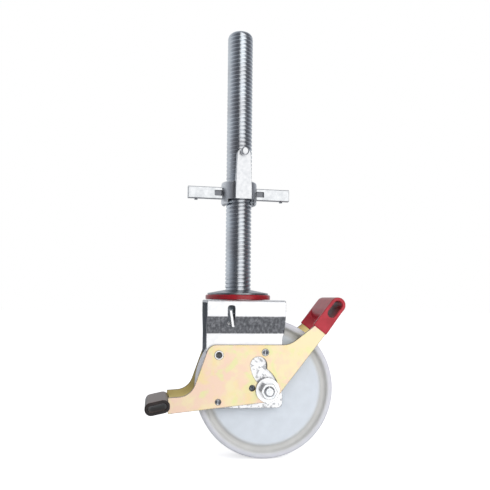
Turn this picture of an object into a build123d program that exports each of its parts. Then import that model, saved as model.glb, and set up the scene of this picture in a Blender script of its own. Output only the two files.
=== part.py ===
"""Levelling castor: a braked swivel castor that is screwed up and down on a threaded spindle.

Row frame, in millimetres: the origin is on the spindle's axis, in the plane of the adjusting
nut's top face, where the end of a scaffold tube sits. +Z points up the spindle, the wheel trails
towards +X, and the axle lies along Y. Side views are drawn about the axle as (x, height) pairs,
and turned parts as (radius, height) or (radius, width) pairs.
"""

import os
from math import atan2, cos, degrees, hypot, pi, radians, sin, sqrt, tan

from build123d import *

os.makedirs("parts", exist_ok=True)

FRONT, REAR = -1, 1  # the two sides of the castor, as signs of Y

# ---- where the castor's main points lie ----
AXLE_DROP = 302.0  # from the nut's top face down to the axle
TRAIL = 38.5  # from the swivel axis to the axle

# ---- wheel: one moulding, on a roller bearing ----
WHEEL_R = 100.0
TREAD_W = 50.0
WHEEL_EDGE_R = 4.5
TREAD_CROWN = 0.8
LIP_H = 9.0
DIP_SPAN = 11.0  # the ring-shaped dip between the lip and the web
DIP_SLANT = 2.5  # how far each side of the dip leans inwards
DIP_W = 39.0  # wheel thickness at the bottom of the dip
WEB_W = 45.0
HUB_R = 19.0
HUB_W = 64.0
WHEEL_BORE_R = 14.0
ROLLER_COUNT = 12
ROLLER_INSET, CAGE_INSET = 7.0, 3.0  # from each end of the hub
ROLLER_PLAY = 0.05
CAGE_WALL = 1.6
POCKET_PLAY = 0.15

# ---- axle ----
AXLE_TUBE_R = 10.0
AXLE_BOLT_R = 7.0
AXLE_BORE_PLAY = 0.2
THRUST_WASHER_T = 0.8
THRUST_WASHER_R = 18.0
HUB_SIDE_PLAY = 0.1
COLLAR_R = 8.0
COLLAR_END_PLAY = 0.4  # lets the brake plates turn under the washers
AXLE_WASHER_R = 17.2
AXLE_WASHER_T = 3.0
TANG_REACH = 3.2
TANG_W = 7.0
HEX_FLATS = 21.0
HEX_CHAMFER = 0.4  # how far the turned corners run inside the flats
AXLE_NUT_H = 12.8
BOLT_HEAD_H = 8.8
BOLT_END = 3.3

# ---- fork: one folded sheet ----
SHEET = 4.0
FORK_LEFT, FORK_RIGHT = -87.3, 24.5  # ends of the head, from the axle
LEG_RIGHT, LEG_STEP_H, STEP_BEND_R = 22.2, 6.0, 2.0  # legs step in just under the joggle
LEG_BOTTOM = -25.5
LEG_CORNER_R = 7.0
HEAD_ROOM = 26.5  # from the tread to the top of the head
HEAD_W = 100.0
HEAD_CORNER_R = 2.0
BEND_R = 6.0
JOGGLE_DOWN, JOGGLE_H = 23.0, 24.5  # from the top of the head
WINDOW_LEFT, WINDOW_W = -58.4, 10.2
WINDOW_DOWN, WINDOW_H = 7.5, 28.0  # from the top of the head

# ---- swivel head ----
SPINDLE_R = 19.0
SPINDLE_RISE = 232.0  # above the nut's top face
SPINDLE_NOSE_R = 11.0
KINGPIN_R = 10.0
KINGPIN_HOLE_PLAY = 1.0
FLANGE_R = 45.0
FLANGE_RIM_T = 2.2
FLANGE_CONE_H = 4.8
SEAL_IN_R, SEAL_R = 40.5, 47.9
SEAL_T = 7.0
SEAL_PLAY, SEAL_LIFT = 0.5, 0.2  # below and above the seal
BALL_R = 2.5
GROOVE_PLAY = 0.05
RACE_GAP = 2.6  # between the two faces that hold a row of balls
UPPER_PITCH_R, UPPER_BALLS = 34.0, 24
UPPER_RACE_IN_R, UPPER_RACE_R, UPPER_RACE_T = 26.0, 39.5, 2.1
LOWER_PITCH_R, LOWER_BALLS = 20.0, 14
LOWER_RACE_IN_R, LOWER_RACE_R, LOWER_RACE_T = 14.0, 26.0, 2.5
CUP_T = 3.9
KINGPIN_NUT_H = 6.0
KINGPIN_NUT_FLATS = 30.0
KINGPIN_END = 1.0

# ---- adjusting nut ----
NUT_R = 26.5
NUT_H = 35.0
NUT_EDGE_R = 4.0
THREAD_PLAY = 0.3
NUT_TURN = 5.0  # degrees that the nut is left turned by on its thread
NUT_NOTCH_W, NUT_NOTCH_H = 40.0, 8.0
NUT_FLAT = 22.0  # from the axis to the flat behind the lever
WING_SPAN = 154.0
WING_T = 10.0
WING_BOTTOM, WING_H = 9.0, 18.0  # from the nut's bottom face
WING_EDGE_R = 2.5
WING_RECESS_LENGTH, WING_RECESS_H, WING_RECESS_DEPTH = 11.0, 8.0, 3.0
NUB_R, NUB_H, NUB_INSET = 2.5, 2.0, 12.0

# ---- locking lever ----
LEVER_PIN_R = 2.5
LEVER_PIN_OUT = 26.5  # from the spindle's axis forwards
LEVER_PIN_UP = 11.5  # above the nut's bottom face
LEVER_FOOT_W, LEVER_TIP_W = 24.0, 19.5
LEVER_RISE = 68.5  # from the pin to the tip
LEVER_TAIL = 5.0
LEVER_TAPER_FROM = 8.0  # above the pin
LEVER_SHEET = 3.0
LEVER_FLANGE_D, LEVER_TIP_FLANGE_D = 10.0, 5.0
LEVER_BOSS_R = 4.2
LUG_PLAY, LEVER_FACE_PLAY = 0.4, 0.5  # beside the lug and in front of it
PIN_PLAY = 0.1
STUD_RISE = 64.0
STUD_HEAD_R, STUD_HEAD_H = 6.0, 8.0
STUD_SHANK_R = 3.0
STUD_TIP_PLAY = 0.6

# ---- brake frame: two plates joined by the tubes of the pedals ----
PLATE_T = 4.0
PLATE_GAP = 1.0  # between a leg and its plate
PIVOT = (-70.0, -16.0)
PIVOT_R = 4.0
PIVOT_PLAY = 0.15
PIVOT_HEAD_R, PIVOT_HEAD_T = 7.0, 1.8
PIVOT_END = 1.0
BRAKE_TURN = radians(28.0)
PLATE_TOP = 63.3
PLATE_TOP_LEFT, PLATE_TOP_RIGHT = -82.8, 32.4
PLATE_ELBOW = (-107.8, -7.6)  # where the body turns into the black pedal's arm
PLATE_HEEL = (9.3, -15.8)
RIVET = (-3.3, 52.8)
RIVET_R = 5.0
RIVET_BUTTON_R, RIVET_BUTTON_T = 8.0, 0.7
PLATE_HOLE = (-22.0, 2.9)
PLATE_HOLE_R = 4.3
LOBE = (-12.9, 35.0)
LOBE_R = 12.0
SLOT_FOOT_R = 10.4
THROAT_LEFT = [(-21.8, 22.2), (-13.0, 9.0)]  # from the lobe down to the foot
THROAT_RIGHT = [(14.0, 10.0), (8.8, 19.7), (-0.9, 29.2)]  # from the foot up to the lobe
RED_PEDAL, RED_TILT = (98.2, 114.6), 52.0
RED_LENGTH, RED_W = 35.0, 20.0
BLACK_PEDAL, BLACK_TILT = (-154.0, -23.0), 12.0
BLACK_LENGTH, BLACK_W = 33.4, 16.0
TUBE_WALL = 2.5
COAT = 1.2
RED_SLEEVE_BACK = 37.5  # from the red tube's middle back along its arm
RED_ARM_DROP = 1.3  # how far the arm's edges have dropped across it there
BLACK_ARM_BACK, BLACK_ARM_UP, BLACK_ARM_DOWN = 14.5, 13.4, 8.6  # from the black tube's middle

# ---- brake shoe, pressed down by two hollow studs ----
STUD = (-69.5, 49.0)
STUD_R, STUD_BORE_R = 6.3, 4.6
STUD_END = 0.8  # proud of its plate
STUD_SHY = 0.2  # of the cheek's inner face, clear of the wheel
STUD_SLOT_PLAY = 0.5
SHOE_DROP_RATE = 9.2  # mm of drop for each radian of the frame's turn
SHOE_GAP = 0.25
SHOE_T = 5.0
SHOE_FROM, SHOE_TO = 113.0, 134.0  # degrees about the axle
CHEEK_PLAY, CHEEK_T = 0.6, 3.0  # beside each leg
CHEEK_FROM, CHEEK_TO = 110.4, 133.0  # degrees about the axle, at the pad
CHEEK_FRONT = [(-79.0, 50.0), (-76.0, 37.0), (-34.0, 31.5)]
CHEEK_BACK = [(-23.0, 37.0), (-24.0, 53.0), (-37.0, 62.0)]
BLADE_T = 3.8
BLADE_X = -50.5  # of the hooks' lower ends
BLADE_LEAN = radians(9.0)
BLADE_DOWN, EAR_DOWN, EAR_H = 22.5, 14.5, 14.5  # from the top of the head
HOOK_H, HOOK_T = 23.5, 3.0
EAR_SHORT = 2.0  # of the head's outer face

# ---- the wheel's rings, worked out from the tread inwards ----
LIP_INNER_R = WHEEL_R - LIP_H
WEB_OUTER_R = LIP_INNER_R - DIP_SPAN
ROLLER_LENGTH = HUB_W - 2 * ROLLER_INSET
CAGE_LENGTH = HUB_W - 2 * CAGE_INSET

# ---- distances across the castor, worked out from the hub outwards ----
LEG_IN = HUB_W / 2 + THRUST_WASHER_T + 2 * HUB_SIDE_PLAY
LEG_OUT = LEG_IN + SHEET
PLATE_IN = LEG_OUT + PLATE_GAP
PLATE_OUT = PLATE_IN + PLATE_T
WASHER_IN = PLATE_OUT + COLLAR_END_PLAY
WASHER_OUT = WASHER_IN + AXLE_WASHER_T
CHEEK_OUT = LEG_IN - CHEEK_PLAY
CHEEK_IN = CHEEK_OUT - CHEEK_T
EAR_REACH = HEAD_W / 2 - EAR_SHORT

# ---- heights above the axle, worked out from the tread upwards ----
HEAD_TOP = WHEEL_R + HEAD_ROOM
JOGGLE_TOP = HEAD_TOP - JOGGLE_DOWN
JOGGLE_BOTTOM = JOGGLE_TOP - JOGGLE_H
WINDOW_TOP = HEAD_TOP - WINDOW_DOWN
EAR_TOP = HEAD_TOP - EAR_DOWN
EAR_BOTTOM = EAR_TOP - EAR_H
HOOK_BOTTOM = EAR_TOP - HOOK_H
UPPER_RACE_TOP = HEAD_TOP + UPPER_RACE_T
FLANGE_BASE = UPPER_RACE_TOP + RACE_GAP
SEAL_BOTTOM = HEAD_TOP + SEAL_PLAY
SEAL_TOP = SEAL_BOTTOM + SEAL_T
FLANGE_RIM_BASE = SEAL_TOP + SEAL_LIFT
FLANGE_RIM_TOP = FLANGE_RIM_BASE + FLANGE_RIM_T
FLANGE_TOP = FLANGE_RIM_TOP + FLANGE_CONE_H
LOWER_RACE_BOTTOM = HEAD_TOP - SHEET - LOWER_RACE_T
CUP_TOP = LOWER_RACE_BOTTOM - RACE_GAP
CUP_BOTTOM = CUP_TOP - CUP_T
KINGPIN_NUT_BOTTOM = CUP_BOTTOM - KINGPIN_NUT_H


def save(node, solid):
    """Write one node's solid, or its group of separate solids, to its STEP file."""
    export_step(solid, f"parts/{node}.step")


def side_name(side):
    """Word for one side of the castor."""
    return "front" if side == FRONT else "rear"


# ---- ways of making solids ----


def slab(outline, low, high):
    """Stand a side view, drawn about the axle, up as a slab between two places along Y."""
    plane = Plane(origin=(TRAIL, high, -AXLE_DROP), x_dir=(1, 0, 0), z_dir=(0, -1, 0))
    return extrude(plane * outline, amount=high - low, dir=(0, -1, 0))


def side_slab(outline, side, inner, outer):
    """Make a slab on one side, between two distances from the castor's middle plane."""
    low, high = sorted((side * inner, side * outer))
    return slab(outline, low, high)


def head_turned(*points):
    """Turn a (radius, height above the axle) profile about the swivel axis."""
    profile = make_face(Polyline(*points, close=True))
    return Pos(0, 0, -AXLE_DROP) * revolve(Plane.XZ * profile, Axis.Z)


def on_axle(solid):
    """Move a solid made about Z onto the axle, with its Z along Y."""
    return Pos(TRAIL, 0, -AXLE_DROP) * Rot(-90, 0, 0) * solid


def axle_ring(outer_r, inner_r, low, high):
    """Make a ring or tube on the axle between two places along Y."""
    return on_axle(Pos(0, 0, low) * tube_up(outer_r, inner_r, high - low))


def tube_up(outer_r, inner_r, height):
    """Make a tube that stands on the XY plane."""
    return extrude(Circle(outer_r) - Circle(inner_r), amount=height)


def at(point, shape):
    """Move a flat shape to a point of the side view."""
    return Pos(point[0], point[1]) * shape


def oval(point, tilt, length, width):
    """Draw an oval with straight flanks, tilted in the side view."""
    return at(point, Rot(0, 0, tilt) * SlotOverall(length, width))


def turned_about_pivot(point, turn):
    """Give where a point of the brake frame goes as the red pedal is pressed down."""
    reach = hypot(point[0] - PIVOT[0], point[1] - PIVOT[1])
    angle = atan2(point[1] - PIVOT[1], point[0] - PIVOT[0]) - turn
    return (PIVOT[0] + reach * cos(angle), PIVOT[1] + reach * sin(angle))


# ---- wheel and bearing ----


def make_wheel():
    """Turn the wheel: hub, web, ring-shaped dip, lip and slightly crowned tread."""
    half = [
        (WHEEL_BORE_R, HUB_W / 2, 1.0),
        (HUB_R, HUB_W / 2, 1.5),
        (HUB_R, WEB_W / 2, 3.0),
        (WEB_OUTER_R, WEB_W / 2, 4.0),
        (WEB_OUTER_R + DIP_SLANT, DIP_W / 2, 4.0),
        (LIP_INNER_R - DIP_SLANT, DIP_W / 2, 4.0),
        (LIP_INNER_R, TREAD_W / 2, 3.0),
        (WHEEL_R - TREAD_CROWN, TREAD_W / 2, WHEEL_EDGE_R),
    ]
    outline = half + [(WHEEL_R, 0, 0)] + [(r, -y, bend) for r, y, bend in reversed(half)]
    points = [(r, y) for r, y, _ in outline]
    bends = [bend for _, _, bend in outline]
    profile = make_face(FilletPolyline(*points, radius=bends, close=True))
    return on_axle(revolve(Plane.XZ * profile, Axis.Z))


def roller_places():
    """Give the places of the bearing's rollers round the axle."""
    pitch_r = (WHEEL_BORE_R + AXLE_TUBE_R) / 2
    return PolarLocations(pitch_r, ROLLER_COUNT)


def make_rollers():
    """Make the bearing's rollers, each a little slimmer than its space."""
    roller_r = (WHEEL_BORE_R - AXLE_TUBE_R) / 2 - ROLLER_PLAY
    roller = Cylinder(roller_r, ROLLER_LENGTH)
    return Compound(children=[on_axle(place * roller) for place in roller_places()])


def make_roller_cage():
    """Make the cage: a thin sleeve with one window for each roller."""
    middle_r = (WHEEL_BORE_R + AXLE_TUBE_R) / 2
    sleeve = tube_up(middle_r + CAGE_WALL / 2, middle_r - CAGE_WALL / 2, CAGE_LENGTH)
    sleeve = Pos(0, 0, -CAGE_LENGTH / 2) * sleeve
    window_w = WHEEL_BORE_R - AXLE_TUBE_R + 2 * POCKET_PLAY
    window = Box(window_w, window_w, ROLLER_LENGTH + 2 * POCKET_PLAY)
    return on_axle(sleeve - [place * window for place in roller_places()])


# ---- axle ----


def make_axle_washer(side):
    """Make a thick washer; the front one has a small bent tang at its lower edge."""
    washer = axle_ring(AXLE_WASHER_R, AXLE_BOLT_R, *sorted((side * WASHER_IN, side * WASHER_OUT)))
    if side == REAR:
        return washer
    tip = (0, -AXLE_WASHER_R - TANG_REACH)
    root = -AXLE_WASHER_R + 1.0
    tang = make_face(Polyline((-TANG_W / 2, root), tip, (TANG_W / 2, root), close=True))
    return washer + side_slab(tang, side, WASHER_IN, WASHER_OUT)


def hexagon(flats, bore_r=0.0):
    """Draw a hexagon by its width across flats, with a hole if a bore is given."""
    shape = RegularPolygon(flats / 2, 6, major_radius=False)
    return shape - Circle(bore_r) if bore_r else shape


def make_axle_nut():
    """Make the hexagon nut in front, with its corners turned off."""
    front = -WASHER_OUT - AXLE_NUT_H
    nut = Pos(0, 0, front) * extrude(hexagon(HEX_FLATS, AXLE_BOLT_R), amount=AXLE_NUT_H)
    corner_r = HEX_FLATS / 2 / cos(pi / 6)
    corner = corner_r - HEX_FLATS / 2
    blank = Pos(0, 0, front + AXLE_NUT_H / 2) * Cylinder(corner_r, AXLE_NUT_H)
    blank = chamfer(blank.edges().sort_by(Axis.Z)[0], corner + HEX_CHAMFER, corner / 2)
    return on_axle(nut & blank)


def make_axle_bolt():
    """Make the bolt: hexagon head behind, shank through the fork, rounded end in front."""
    end = -WASHER_OUT - AXLE_NUT_H - BOLT_END
    shank = Pos(0, 0, end) * extrude(Circle(AXLE_BOLT_R), amount=WASHER_OUT - end)
    shank = chamfer(shank.edges().sort_by(Axis.Z)[0], 1.5)
    head = Pos(0, 0, WASHER_OUT) * extrude(hexagon(HEX_FLATS), amount=BOLT_HEAD_H)
    return on_axle(shank + head)


def save_axle():
    """Write the bolt, the nut, the tube in the hub and what is clamped beside the legs."""
    save("axle_bolt", make_axle_bolt())
    save("axle_nut", make_axle_nut())
    save("axle_tube", axle_ring(AXLE_TUBE_R, AXLE_BOLT_R + AXLE_BORE_PLAY, -LEG_IN, LEG_IN))
    for side in (FRONT, REAR):
        name = side_name(side)
        hub_face = side * (HUB_W / 2 + HUB_SIDE_PLAY)
        thrust_face = hub_face + side * THRUST_WASHER_T
        thrust = axle_ring(THRUST_WASHER_R, AXLE_TUBE_R + AXLE_BORE_PLAY, *sorted((hub_face, thrust_face)))
        collar_ends = sorted((side * LEG_OUT, side * WASHER_IN))
        save(f"thrust_washer_{name}", thrust)
        save(f"axle_collar_{name}", axle_ring(COLLAR_R, AXLE_BOLT_R, *collar_ends))
        save(f"axle_washer_{name}", make_axle_washer(side))


# ---- fork ----


def fork_section():
    """Draw the folded sheet across the castor: legs, slanting joggles and flat head."""
    head, leg = HEAD_W / 2, LEG_OUT
    foot = LEG_BOTTOM - 2 * SHEET
    right = [(leg, foot), (leg, JOGGLE_BOTTOM), (head, JOGGLE_TOP), (head, HEAD_TOP)]
    points = right + [(-y, height) for y, height in reversed(right)]
    bends = [0, BEND_R, BEND_R, BEND_R, BEND_R, BEND_R, BEND_R, 0]
    outside = make_face(FilletPolyline(*points, radius=bends, close=True))
    return outside - offset(outside, amount=-SHEET)


def fork_outline():
    """Draw the fork's side view: straight on the brake's side, stepped on the other."""
    points = [
        (FORK_LEFT, HEAD_TOP),
        (FORK_RIGHT, HEAD_TOP),
        (FORK_RIGHT, JOGGLE_BOTTOM),
        (LEG_RIGHT, JOGGLE_BOTTOM - LEG_STEP_H),
        (LEG_RIGHT, LEG_BOTTOM),
        (FORK_LEFT, LEG_BOTTOM),
    ]
    bends = [HEAD_CORNER_R, HEAD_CORNER_R, STEP_BEND_R, STEP_BEND_R, LEG_CORNER_R, LEG_CORNER_R]
    return make_face(FilletPolyline(*points, radius=bends, close=True))


def stud_slot():
    """Draw the curved slot in each leg that a hollow stud sweeps as the brake frame turns."""
    start = degrees(atan2(STUD[1] - PIVOT[1], STUD[0] - PIVOT[0]))
    reach = hypot(STUD[0] - PIVOT[0], STUD[1] - PIVOT[1])
    path = CenterArc(PIVOT, reach, start - degrees(BRAKE_TURN), degrees(BRAKE_TURN))
    return SlotArc(path, 2 * (STUD_R + STUD_SLOT_PLAY))


def fork_window():
    """Draw the upright window in each side of the head that guides an ear of the shoe."""
    middle = (WINDOW_LEFT + WINDOW_W / 2, WINDOW_TOP - WINDOW_H / 2)
    return at(middle, RectangleRounded(WINDOW_W, WINDOW_H, WINDOW_W / 3))


def make_fork():
    """Fold the fork, trim its legs and cut its holes, slots and windows."""
    width = FORK_RIGHT - FORK_LEFT
    folded = extrude(Plane.YZ * fork_section(), amount=width, dir=(1, 0, 0))
    folded = Pos(TRAIL + FORK_LEFT, 0, -AXLE_DROP) * folded
    fork = folded & slab(fork_outline(), -HEAD_W, HEAD_W)
    holes = Circle(AXLE_BOLT_R) + at(PIVOT, Circle(PIVOT_R)) + at(PLATE_HOLE, Circle(PLATE_HOLE_R))
    holes = holes + stud_slot()
    fork = fork - slab(holes, -HEAD_W, HEAD_W) - slab(fork_window(), -HEAD_W, HEAD_W)
    kingpin_hole = Cylinder(KINGPIN_R + KINGPIN_HOLE_PLAY, 4 * SHEET)
    return fork - Pos(0, 0, HEAD_TOP - AXLE_DROP) * kingpin_hole


# ---- swivel head ----


def ball_groove(pitch_r, middle):
    """Make the ring that a row of balls sweeps, to cut the grooves beside it."""
    return Pos(0, 0, middle - AXLE_DROP) * Torus(pitch_r, BALL_R + GROOVE_PLAY)


def make_balls(pitch_r, count, middle):
    """Make one row of balls."""
    row = Pos(0, 0, middle - AXLE_DROP)
    places = PolarLocations(pitch_r, count)
    return Compound(children=[row * place * Sphere(BALL_R) for place in places])


def make_spindle():
    """Turn the spindle, at its thread's outer size, with the kingpin below its shoulder."""
    pin_foot = KINGPIN_NUT_BOTTOM - KINGPIN_END
    kingpin = extrude(Circle(KINGPIN_R), amount=FLANGE_BASE - pin_foot)
    stem = extrude(Circle(SPINDLE_R), amount=AXLE_DROP + SPINDLE_RISE - FLANGE_BASE)
    stem = fillet(stem.edges().sort_by(Axis.Z)[-1], SPINDLE_NOSE_R)
    return Pos(0, 0, pin_foot - AXLE_DROP) * kingpin + Pos(0, 0, FLANGE_BASE - AXLE_DROP) * stem


def make_flange(upper_middle):
    """Turn the flange that covers the upper balls: flat rim, shallow cone on top."""
    flange = head_turned(
        (SPINDLE_R, FLANGE_BASE),
        (UPPER_RACE_R, FLANGE_BASE),
        (UPPER_RACE_R, FLANGE_RIM_BASE),
        (FLANGE_R, FLANGE_RIM_BASE),
        (FLANGE_R, FLANGE_RIM_TOP),
        (SPINDLE_R + 1.0, FLANGE_TOP),
        (SPINDLE_R, FLANGE_TOP),
    )
    return flange - ball_groove(UPPER_PITCH_R, upper_middle)


def make_seal_ring():
    """Turn the soft seal ring under the flange's rim, with rounded outer edges."""
    corners = [(SEAL_IN_R, SEAL_BOTTOM), (SEAL_R, SEAL_BOTTOM), (SEAL_R, SEAL_TOP), (SEAL_IN_R, SEAL_TOP)]
    profile = make_face(FilletPolyline(*corners, radius=[0, 1.5, 2.0, 0], close=True))
    return Pos(0, 0, -AXLE_DROP) * revolve(Plane.XZ * profile, Axis.Z)


def head_ring(outer_r, inner_r, low, high):
    """Make a flat ring about the swivel axis between two heights above the axle."""
    return Pos(0, 0, low - AXLE_DROP) * tube_up(outer_r, inner_r, high - low)


def save_swivel_head():
    """Write the spindle and everything that lets the fork swivel under it."""
    upper_middle = UPPER_RACE_TOP + RACE_GAP / 2
    lower_middle = LOWER_RACE_BOTTOM - RACE_GAP / 2
    upper_groove = ball_groove(UPPER_PITCH_R, upper_middle)
    lower_groove = ball_groove(LOWER_PITCH_R, lower_middle)
    save("spindle", make_spindle())
    save("head_flange", make_flange(upper_middle))
    save("seal_ring", make_seal_ring())
    upper_race = head_ring(UPPER_RACE_R, UPPER_RACE_IN_R, HEAD_TOP, UPPER_RACE_TOP)
    save("upper_race", upper_race - upper_groove)
    save("upper_balls", make_balls(UPPER_PITCH_R, UPPER_BALLS, upper_middle))
    lower_race = head_ring(LOWER_RACE_R, LOWER_RACE_IN_R, LOWER_RACE_BOTTOM, HEAD_TOP - SHEET)
    save("lower_race", lower_race - lower_groove)
    save("lower_balls", make_balls(LOWER_PITCH_R, LOWER_BALLS, lower_middle))
    cup = head_ring(LOWER_RACE_R, KINGPIN_R, CUP_BOTTOM, CUP_TOP)
    save("kingpin_cup", cup - lower_groove)
    nut = extrude(hexagon(KINGPIN_NUT_FLATS, KINGPIN_R), amount=KINGPIN_NUT_H)
    save("kingpin_nut", Pos(0, 0, KINGPIN_NUT_BOTTOM - AXLE_DROP) * nut)


# ---- adjusting nut and locking lever ----


def make_wing(side):
    """Make one wing of the nut, with the recess near the hub and the nub under its tip."""
    length = WING_SPAN / 2 - SPINDLE_R - THREAD_PLAY - 1.0
    middle_z = -NUT_H + WING_BOTTOM + WING_H / 2
    wing = Box(length, WING_T, WING_H)
    wing = fillet(wing.edges().filter_by(Axis.X), WING_EDGE_R)
    wing = Pos(side * (WING_SPAN / 2 - length / 2), 0, middle_z) * wing
    recess = Box(WING_RECESS_LENGTH, WING_RECESS_DEPTH, WING_RECESS_H)
    recess_x = NUT_R + WING_RECESS_LENGTH / 2
    recess = Pos(side * recess_x, -WING_T / 2 + WING_RECESS_DEPTH / 2, middle_z) * recess
    nub_x = side * (WING_SPAN / 2 - NUB_INSET)
    nub = Pos(nub_x, 0, middle_z - WING_H / 2 - NUB_H / 2 + 0.5) * Cylinder(NUB_R, NUB_H + 1.0)
    return wing - recess + nub


def make_lug():
    """Make the lug on the nut's front that the lever's pin passes through."""
    width = LEVER_FOOT_W - 2 * LEVER_SHEET - 2 * LUG_PLAY
    pin_z = -NUT_H + LEVER_PIN_UP
    base = Box(width, LEVER_PIN_OUT - SPINDLE_R - 1.0, 2 * LEVER_BOSS_R)
    base_y = -(LEVER_PIN_OUT + SPINDLE_R + 1.0) / 2
    base = Pos(0, base_y, pin_z) * base
    boss = Pos(0, -LEVER_PIN_OUT, pin_z) * Rot(0, 90, 0) * Cylinder(LEVER_BOSS_R, width)
    return base + boss


def lever_pin(radius, length):
    """Make a rod along the lever's hinge line."""
    rod = Rot(0, 90, 0) * Cylinder(radius, length)
    return Pos(0, -LEVER_PIN_OUT, -NUT_H + LEVER_PIN_UP) * rod


def make_adjusting_nut():
    """Cast the nut: round hub, two wings, front flat with its lug, notched lower end."""
    hub = Pos(0, 0, -NUT_H / 2) * Cylinder(NUT_R, NUT_H)
    hub = fillet(hub.edges().filter_by(GeomType.CIRCLE), NUT_EDGE_R)
    flat = Pos(0, -NUT_FLAT - NUT_R / 2, -NUT_H / 2) * Box(2 * NUT_R, NUT_R, NUT_H)
    hub = hub - flat
    hub = hub + make_wing(FRONT) + make_wing(REAR) + make_lug()
    hub = hub - Pos(0, 0, -NUT_H / 2) * Cylinder(SPINDLE_R + THREAD_PLAY, 2 * NUT_H)
    notch = Pos(0, 0, -NUT_H + NUT_NOTCH_H / 2) * Box(NUT_NOTCH_W, 3 * NUT_R, NUT_NOTCH_H)
    lug_z = -NUT_H + LEVER_PIN_UP - LEVER_BOSS_R
    notch = notch - Pos(0, -LEVER_PIN_OUT, lug_z + NUT_R / 2) * Box(
        LEVER_FOOT_W, 2 * (LEVER_PIN_OUT - NUT_FLAT), NUT_R
    )
    hub = hub - notch
    return hub - lever_pin(LEVER_PIN_R, 3 * LEVER_FOOT_W)


def lever_face(inset):
    """Draw the lever's tapered front face about its pin, drawn in by an inset at each edge."""
    foot, tip = LEVER_FOOT_W / 2 - inset, LEVER_TIP_W / 2 - inset
    right = [(foot, -LEVER_TAIL), (foot, LEVER_TAPER_FROM), (tip, LEVER_RISE)]
    points = right + [(-x, height) for x, height in reversed(right)]
    tip_bend = max(tip - 2.0, 0.5)
    bends = [1.0, 10.0, tip_bend, tip_bend, 10.0, 1.0]
    return make_face(FilletPolyline(*points, radius=bends, close=True))


def make_locking_lever():
    """Press the lever: a tapered channel whose flanges straddle the nut's lug."""
    pin_z = -NUT_H + LEVER_PIN_UP
    back = -LEVER_PIN_OUT - LEVER_BOSS_R - LEVER_FACE_PLAY
    front = back - LEVER_SHEET
    plane = Plane(origin=(0, back, pin_z), x_dir=(1, 0, 0), z_dir=(0, -1, 0))
    plate = extrude(plane * lever_face(0), amount=LEVER_SHEET, dir=(0, -1, 0))
    rims = extrude(plane * (lever_face(0) - lever_face(LEVER_SHEET)), amount=LEVER_FLANGE_D, dir=(0, 1, 0))
    boss_back = -LEVER_PIN_OUT + LEVER_BOSS_R
    depth = [
        (front, -LEVER_TAIL),
        (back, -LEVER_TAIL),
        (back + LEVER_TAIL - LEVER_BOSS_R, -LEVER_BOSS_R),
        (boss_back, -LEVER_BOSS_R),
        (boss_back, LEVER_BOSS_R),
        (back + LEVER_TIP_FLANGE_D, LEVER_RISE / 2),
        (back + LEVER_TIP_FLANGE_D, LEVER_RISE),
        (front, LEVER_RISE),
    ]
    side_plane = Plane(origin=(-LEVER_FOOT_W, 0, pin_z), x_dir=(0, 1, 0), z_dir=(1, 0, 0))
    bends = [0, 0, 0, LEVER_BOSS_R, 3.0, 8.0, 0, 0]  # the heel turns about the pin, clear of the nut
    side_view = make_face(FilletPolyline(*depth, radius=bends, close=True))
    flanges = rims & extrude(side_plane * side_view, amount=2 * LEVER_FOOT_W, dir=(1, 0, 0))
    open_foot = Pos(0, back + LEVER_FLANGE_D, pin_z - LEVER_TAIL) * Box(
        LEVER_FOOT_W - 2 * LEVER_SHEET, 2 * LEVER_FLANGE_D, 4 * LEVER_SHEET
    )
    lever = plate + (flanges - open_foot)
    drill = Rot(90, 0, 0) * Cylinder(STUD_SHANK_R, 4 * LEVER_SHEET)
    stud_hole = Pos(0, back, pin_z + STUD_RISE) * drill
    return lever - stud_hole - lever_pin(LEVER_PIN_R + PIN_PLAY, 3 * LEVER_FOOT_W)


def make_locking_stud():
    """Turn the stud at the lever's tip: domed head in front, pointed end at the thread."""
    front = LEVER_PIN_OUT + LEVER_BOSS_R + LEVER_FACE_PLAY + LEVER_SHEET
    reach = SPINDLE_R + STUD_TIP_PLAY
    corners = [
        (0, reach),
        (STUD_SHANK_R - 2.0, reach),
        (STUD_SHANK_R, reach + 2.5),
        (STUD_SHANK_R, front),
        (STUD_HEAD_R, front),
        (STUD_HEAD_R, front + STUD_HEAD_H),
        (0, front + STUD_HEAD_H),
    ]
    profile = make_face(FilletPolyline(*corners, radius=[0, 0, 0, 0, 0, 2.5, 0], close=True))
    stud = Rot(90, 0, 0) * revolve(Plane.XZ * profile, Axis.Z)
    return Pos(0, 0, -NUT_H + LEVER_PIN_UP + STUD_RISE) * stud


# ---- brake frame ----


def along_red_arm(distance, across):
    """Give a point by its distance up the red arm from the tube's middle, and across it."""
    tilt = radians(RED_TILT)
    x = RED_PEDAL[0] + distance * cos(tilt) - across * sin(tilt)
    return (x, RED_PEDAL[1] + distance * sin(tilt) + across * cos(tilt))


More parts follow.
